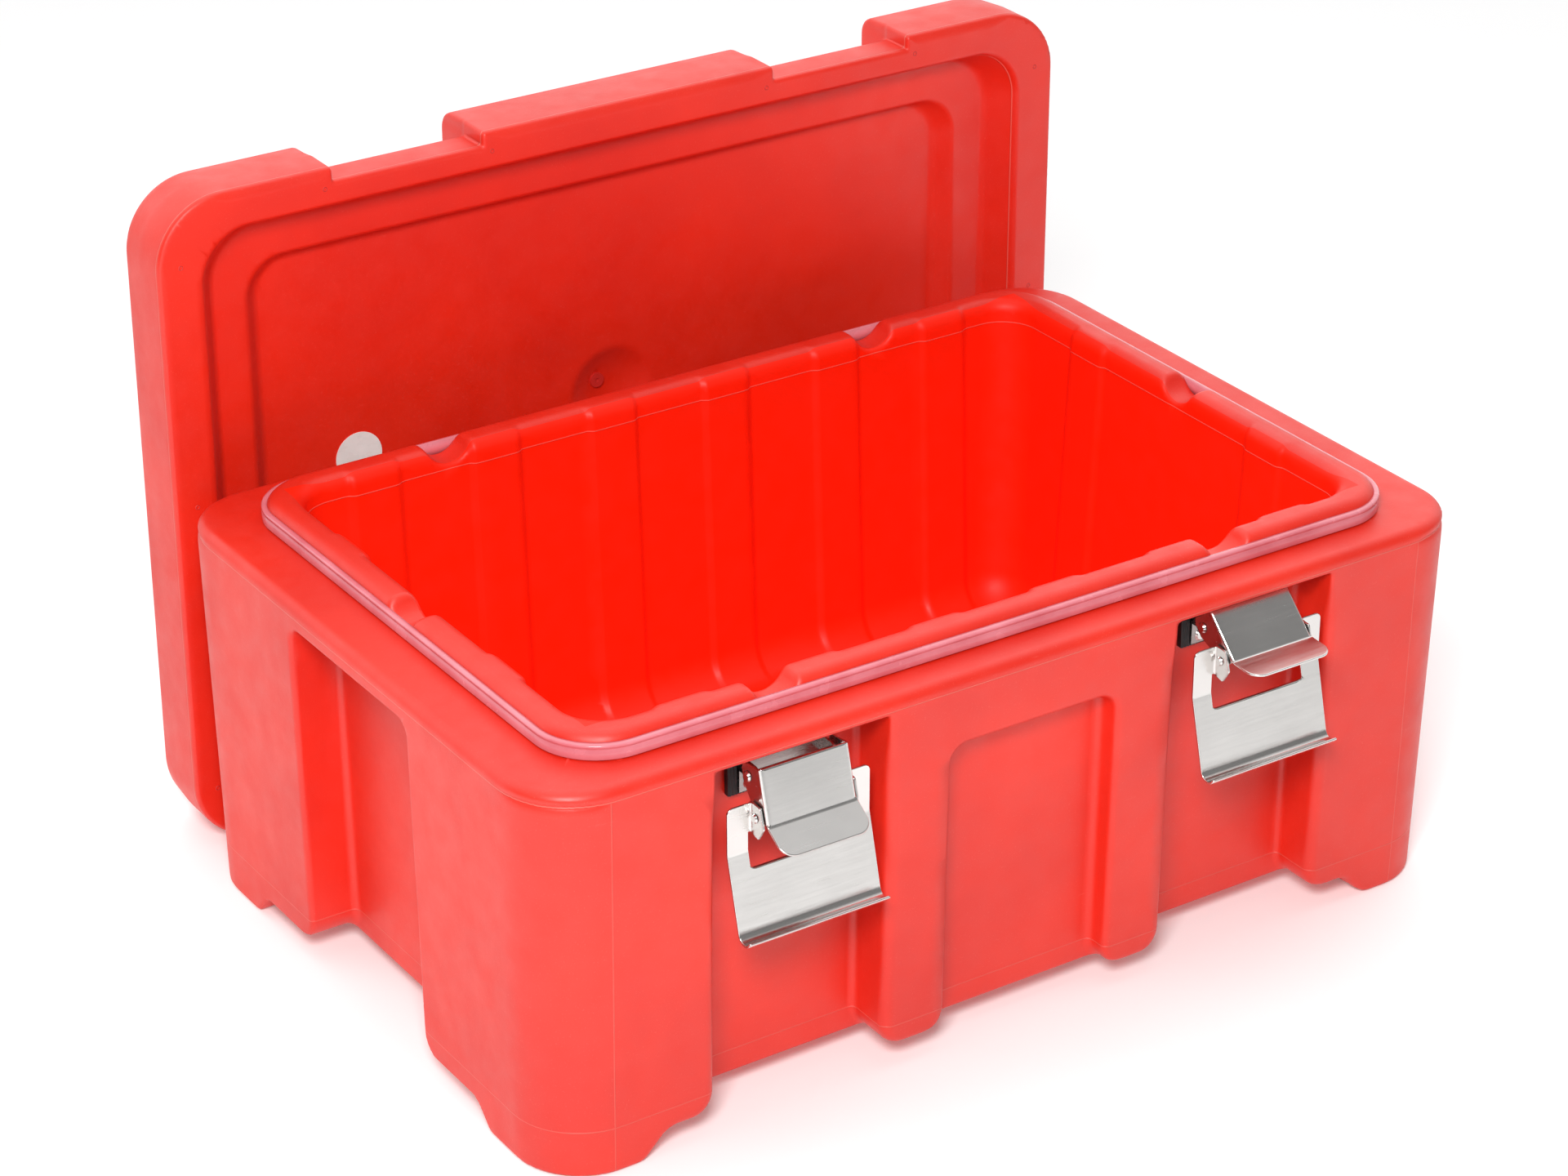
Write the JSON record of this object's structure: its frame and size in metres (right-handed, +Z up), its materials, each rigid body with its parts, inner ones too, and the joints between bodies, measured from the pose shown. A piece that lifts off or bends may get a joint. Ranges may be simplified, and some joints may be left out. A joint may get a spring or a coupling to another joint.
{
  "type": "insulated transport box",
  "caption": "Insulated top-loading food transport box with a raised gasketed lip, a loose lid standing behind it and over-centre latches in open-bottomed wall recesses.",
  "frame": {"origin": "centre of the body's footprint, on the floor it stands on", "axes": "+X along the long side to the right as the front latches are seen, +Y from the front to the back, where the lid stands, +Z up"},
  "size_m": [0.673, 0.549, 0.443],
  "materials": {
    "red_polyethylene": "satin rotomoulded surface with a fine orange-peel grain",
    "insulating_foam": "cut polyurethane foam",
    "filling_plugs": "welded plug",
    "silicone": "translucent silicone",
    "stainless_steel": "tumbled satin stainless sheet",
    "black_rubber": "ribbed black rubber",
    "white_label": "blank round sticker"
  },
  "bodies": {
    "box": {"body_shell": "red_polyethylene", "body_foam_core": "insulating_foam", "body_filling_plugs": "filling_plugs", "lip_gasket": "silicone", "front_left_backing_pad": "black_rubber", "front_left_base_bracket": "stainless_steel", "front_left_fixing_rivets": "stainless_steel", "front_left_hinge_pin": "stainless_steel", "front_right_backing_pad": "black_rubber", "front_right_base_bracket": "stainless_steel", "front_right_fixing_rivets": "stainless_steel", "front_right_hinge_pin": "stainless_steel", "rear_left_backing_pad": "black_rubber", "rear_left_base_bracket": "stainless_steel", "rear_left_fixing_rivets": "stainless_steel", "rear_left_hinge_pin": "stainless_steel", "rear_right_backing_pad": "black_rubber", "rear_right_base_bracket": "stainless_steel", "rear_right_fixing_rivets": "stainless_steel", "rear_right_hinge_pin": "stainless_steel"},
    "lid": {"lid_shell": "red_polyethylene", "lid_foam_core": "insulating_foam", "lid_filling_plug": "filling_plugs", "lid_label": "white_label"},
    "front_left_lever": {"front_left_lever": "stainless_steel", "front_left_hook_rivets": "stainless_steel"},
    "front_left_hook": {"front_left_hook_plate": "stainless_steel"},
    "front_right_lever": {"front_right_lever": "stainless_steel", "front_right_hook_rivets": "stainless_steel"},
    "front_right_hook": {"front_right_hook_plate": "stainless_steel"},
    "rear_left_lever": {"rear_left_lever": "stainless_steel", "rear_left_hook_rivets": "stainless_steel"},
    "rear_left_hook": {"rear_left_hook_plate": "stainless_steel"},
    "rear_right_lever": {"rear_right_lever": "stainless_steel", "rear_right_hook_rivets": "stainless_steel"},
    "rear_right_hook": {"rear_right_hook_plate": "stainless_steel"}
  },
  "joints": [
    {"name": "lid_away", "type": "slide", "parent": "box", "child": "lid", "axis": [0, 1, 0], "range_m": [0, 0.3]},
    {"name": "front_left_lever_hinge", "type": "hinge", "parent": "box", "child": "front_left_lever", "pos_m": [-0.1605, -0.21027, 0.2247], "axis": [-1, 0, 0], "range_deg": [-16, 80]},
    {"name": "front_left_hook_hinge", "type": "hinge", "parent": "front_left_lever", "child": "front_left_hook", "pos_m": [-0.1605, -0.22094, 0.20355], "axis": [1, 0, 0], "range_deg": [-168, 24]},
    {"name": "front_right_lever_hinge", "type": "hinge", "parent": "box", "child": "front_right_lever", "pos_m": [0.1605, -0.21027, 0.2247], "axis": [-1, 0, 0], "range_deg": [-10, 50]},
    {"name": "front_right_hook_hinge", "type": "hinge", "parent": "front_right_lever", "child": "front_right_hook", "pos_m": [0.1605, -0.23009, 0.21172], "axis": [1, 0, 0], "range_deg": [-168, 28]},
    {"name": "rear_left_lever_hinge", "type": "hinge", "parent": "box", "child": "rear_left_lever", "pos_m": [-0.1605, 0.21027, 0.2247], "axis": [1, 0, 0], "range_deg": [-6, 12]},
    {"name": "rear_left_hook_hinge", "type": "hinge", "parent": "rear_left_lever", "child": "rear_left_hook", "pos_m": [-0.1605, 0.2171, 0.20202], "axis": [-1, 0, 0], "range_deg": [-14, 14]},
    {"name": "rear_right_lever_hinge", "type": "hinge", "parent": "box", "child": "rear_right_lever", "pos_m": [0.1605, 0.21027, 0.2247], "axis": [1, 0, 0], "range_deg": [-6, 12]},
    {"name": "rear_right_hook_hinge", "type": "hinge", "parent": "rear_right_lever", "child": "rear_right_hook", "pos_m": [0.1605, 0.2171, 0.20202], "axis": [-1, 0, 0], "range_deg": [-14, 14]}
  ]
}
